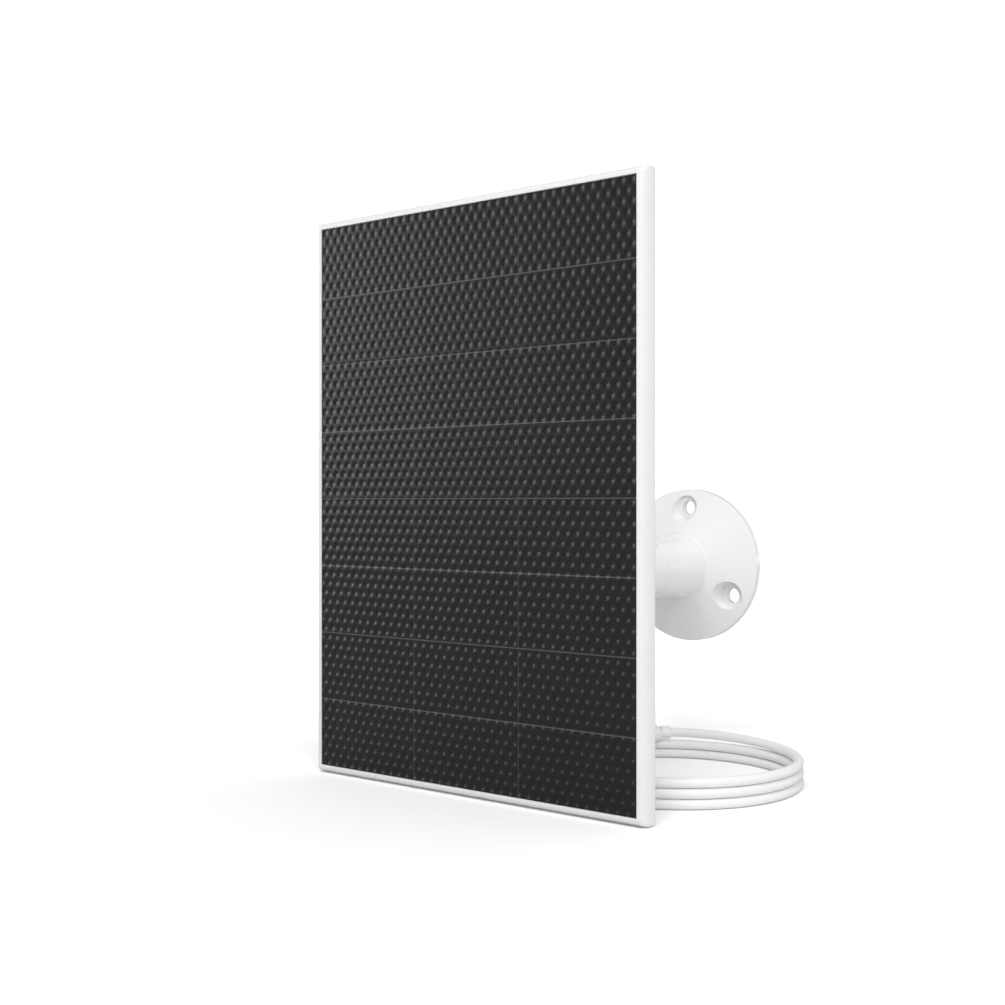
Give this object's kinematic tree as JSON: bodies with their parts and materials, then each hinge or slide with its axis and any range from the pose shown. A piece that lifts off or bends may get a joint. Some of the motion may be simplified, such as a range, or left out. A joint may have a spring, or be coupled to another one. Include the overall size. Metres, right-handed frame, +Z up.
{
  "type": "solar charging panel for a security camera",
  "caption": "Upright framed solar panel on a ball-jointed wall arm with a round screw plate, and a coiled white charging cable ending in a small USB plug.",
  "frame": {"origin": "centre of the wall plate's back face, on the arm's axis", "axes": "+Y into the wall along the arm, -Y the way the solar face looks, +Z up, +X to the right seen from the front"},
  "size_m": [0.1447, 0.137, 0.1856],
  "materials": {
    "mount_white": "smooth semi-gloss moulded ABS",
    "frame_white": "smooth semi-gloss moulded ABS",
    "cover_white": "finely textured moulded ABS",
    "inner_grey": "acetal, satin",
    "film_black": "satin laminating film with a grid of small raised dots",
    "cell_blue": "monocrystalline silicon",
    "tinned_copper": "tinned copper strip",
    "board_grey": "glass-fibre laminate",
    "foam_black": "closed-cell foam tape",
    "seal_grey": "silicone cord",
    "steel": "zinc-plated steel",
    "plug_steel": "nickel-plated pressed steel",
    "brass": "turned brass",
    "circuit_green": "solder mask on glass-fibre board",
    "ferrite_black": "moulded ferrite",
    "can_aluminium": "drawn can",
    "chip_black": "moulded epoxy",
    "wire_red": "insulated wire",
    "cord_white": "smooth satin thermoplastic elastomer",
    "plug_white": "satin moulded grip"
  },
  "bodies": {
    "wall_mount": {"wall_base": "mount_white", "extension_arm": "mount_white", "arm_screw": "steel"},
    "clamp": {"clamp_ring": "inner_grey"},
    "collar": {"locking_collar": "mount_white"},
    "liner": {"friction_liner": "inner_grey"},
    "head": {"ball_stud": "steel", "lock_wheel": "mount_white"},
    "panel": {"front_frame": "frame_white", "cover_film": "film_black", "solar_cells": "cell_blue", "cell_ribbons": "tinned_copper", "backing_board": "board_grey", "adhesive_gasket": "foam_black", "rear_cover": "cover_white", "cover_seal": "seal_grey", "cover_screws": "steel", "threaded_insert": "brass", "regulator_board": "circuit_green", "board_inductor": "ferrite_black", "board_capacitors": "can_aluminium", "board_chip": "chip_black", "laminate_wires": "wire_red", "cable_cores": "wire_red", "strain_relief": "cord_white", "cable_lead": "cord_white", "cable_coil": "cord_white", "plug_collar": "cord_white", "plug_body": "plug_white", "plug_shell": "plug_steel", "plug_tongue": "chip_black"}
  },
  "joints": [
    {"name": "collar_travel", "type": "slide", "parent": "wall_mount", "child": "clamp", "axis": [0, -1, 0], "range_m": [0, 0.0005]},
    {"name": "collar_turn", "type": "hinge", "parent": "clamp", "child": "collar", "pos_m": [0, -0.105, 0], "axis": [0, -1, 0], "range_deg": [0, 90]},
    {"name": "head_pan", "type": "hinge", "parent": "wall_mount", "child": "liner", "pos_m": [0, -0.105, 0], "axis": [0, 0, 1], "range_deg": [-20, 20]},
    {"name": "head_tilt", "type": "hinge", "parent": "liner", "child": "head", "pos_m": [0, -0.105, 0], "axis": [1, 0, 0], "range_deg": [-20, 20]},
    {"name": "panel_turn", "type": "hinge", "parent": "head", "child": "panel", "pos_m": [0, -0.125, 0], "axis": [0, -1, 0], "range_deg": [-90, 90]}
  ],
  "couplings": [
    {"joint": "collar_travel", "follows": "collar_turn", "m_per_rad": 0.000318}
  ]
}
